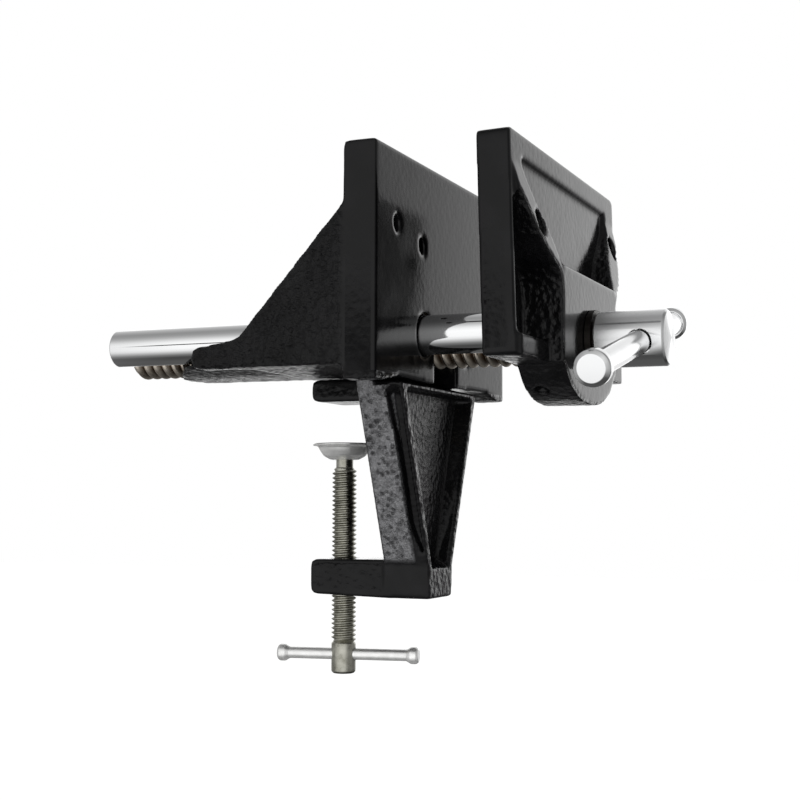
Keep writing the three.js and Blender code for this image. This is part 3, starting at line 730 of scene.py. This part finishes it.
def look():
    """The camera, low at the handle's end of the near side."""
    azimuth, elevation, roll = (math.radians(angle) for angle in CAMERA_TURNS)
    level = Vector((math.sin(azimuth), -math.cos(azimuth), 0))
    back = level * math.cos(elevation) + Z * math.sin(elevation)
    right = Vector((math.cos(azimuth), math.sin(azimuth), 0))
    up = back.cross(right)
    side = right * math.cos(roll) + up * math.sin(roll)
    top = up * math.cos(roll) - right * math.sin(roll)
    lens = bpy.data.cameras.new("camera")
    lens.sensor_width = 36.0
    lens.lens = 63.97
    lens.clip_start = 0.02
    lens.clip_end = 50.0
    camera = add_object("camera", lens)
    turn = Matrix((side, top, back)).transposed().to_4x4()
    camera.matrix_world = Matrix.Translation(CAMERA_AT) @ turn
    bpy.context.scene.camera = camera


# Light by height: (degrees up from the camera's side, level). The camera's side is 0, overhead is
# 90, the back is 180 and straight down is -90.
BANDS = [(-180, 0.75), (-172, 0.5), (-163, 0.08), (-135, 0.07), (-78, 0.07), (-62, 0.2),
         (-53, 0.38), (-42, 0.65), (-34, 0.9), (-20, 1.1), (10, 1.15), (25, 1.0), (33, 0.85),
         (42, 0.68), (50, 0.54), (59, 0.44), (68, 0.36), (82, 0.32), (112, 0.33), (130, 0.42),
         (150, 0.65), (168, 1.1), (180, 1.2)]
# Dark gaps between strip lights: (sideways, half width, degrees up, half height in degrees).
LIGHT_GAPS = [(-0.49, 0.14, 5.0, 2.4), (-0.2, 0.14, 61.0, 3.4)]


def light_bands(g, height):
    """The room's light at this height, in radians up from the camera's side."""
    turn = g.math("ADD", g.math("DIVIDE", height, 2 * math.pi), 0.5)
    bands = g.node("ShaderNodeValToRGB", {"Fac": turn})
    stops = bands.color_ramp.elements
    while len(stops) < len(BANDS):
        stops.new(0.5)
    for stop, (angle, light) in zip(stops, BANDS):
        stop.position = (angle + 180) / 360
        stop.color = (light, light, light, 1)
    return bands.outputs["Color"]


def light_gap(g, sideways, height, gap):
    """Close to 0 inside this gap between the lights, and 1 outside it."""
    middle, wide, up, thick = gap
    off_side = g.math("ABSOLUTE", g.math("SUBTRACT", sideways, middle))
    off_height = g.math("ABSOLUTE", g.math("SUBTRACT", height, math.radians(up)))
    inside = g.span(off_side, wide, wide + 0.04, 0.95, 0.0)
    between = g.span(off_height, math.radians(thick), math.radians(thick + 1), 1.0, 0.0)
    return g.math("SUBTRACT", 1.0, g.math("MULTIPLY", inside, between))


def studio():
    """White room: bands of light by height on the camera's side, white at the back."""
    world = bpy.data.worlds.new("studio")
    bpy.context.scene.world = world
    world.use_nodes = True
    g = Graph(world.node_tree)
    direction = g.node("ShaderNodeTexCoord").outputs["Generated"]
    sideways, away, up = g.node("ShaderNodeSeparateXYZ", {0: direction}).outputs
    height = g.math("ARCTAN2", up, g.math("MULTIPLY", away, -1.0))
    behind = g.span(away, 0.0, 0.3)
    falling = g.span(sideways, 0.27, 0.42, 1.35, 0.5)
    front = g.math("SUBTRACT", 1.0, behind)
    level = g.math("ADD", g.math("MULTIPLY", behind, falling), front)
    for gap in LIGHT_GAPS:
        level = g.math("MULTIPLY", level, light_gap(g, sideways, height, gap))
    lit = g.scaled(light_bands(g, height), level)
    ends = g.span(g.math("ABSOLUTE", sideways), 0.6, 0.95)
    lit = g.mix(ends, lit, (0.36, 0.36, 0.36))
    seen = g.node("ShaderNodeLightPath").outputs["Is Camera Ray"]
    shown = g.mix(seen, lit, (1.0, 1.0, 1.0))
    back = g.node("ShaderNodeBackground", {"Color": shown, "Strength": 1.0})
    out = g.node("ShaderNodeOutputWorld")
    world.node_tree.links.new(back.outputs[0], out.inputs["Surface"])


def pale(g):
    """Nearly white paper, lit a little from within so that its far edge doesn't show."""
    return {
        "Base Color": g.mix(g.noise(g.place(), 3.0), (0.80, 0.80, 0.80), (0.84, 0.84, 0.84)),
        "Roughness": 0.9,
        "Emission Color": (1.0, 1.0, 1.0),
        "Emission Strength": 0.62,
    }


def floor():
    """A wide pale floor below the tommy bar."""
    size, height = 4.0, -0.30
    corners = [(-size, -size, height), (size, -size, height), (size, size, height),
               (-size, size, height)]
    mesh = bpy.data.meshes.new("floor")
    mesh.from_pydata(corners, [], [(0, 1, 2, 3)])
    made = add_object("floor", mesh)
    made.data.materials.append(material("pale_floor", pale))
    made.visible_glossy = False


look()
studio()
floor()
bpy.context.scene.view_settings.view_transform = "Standard"
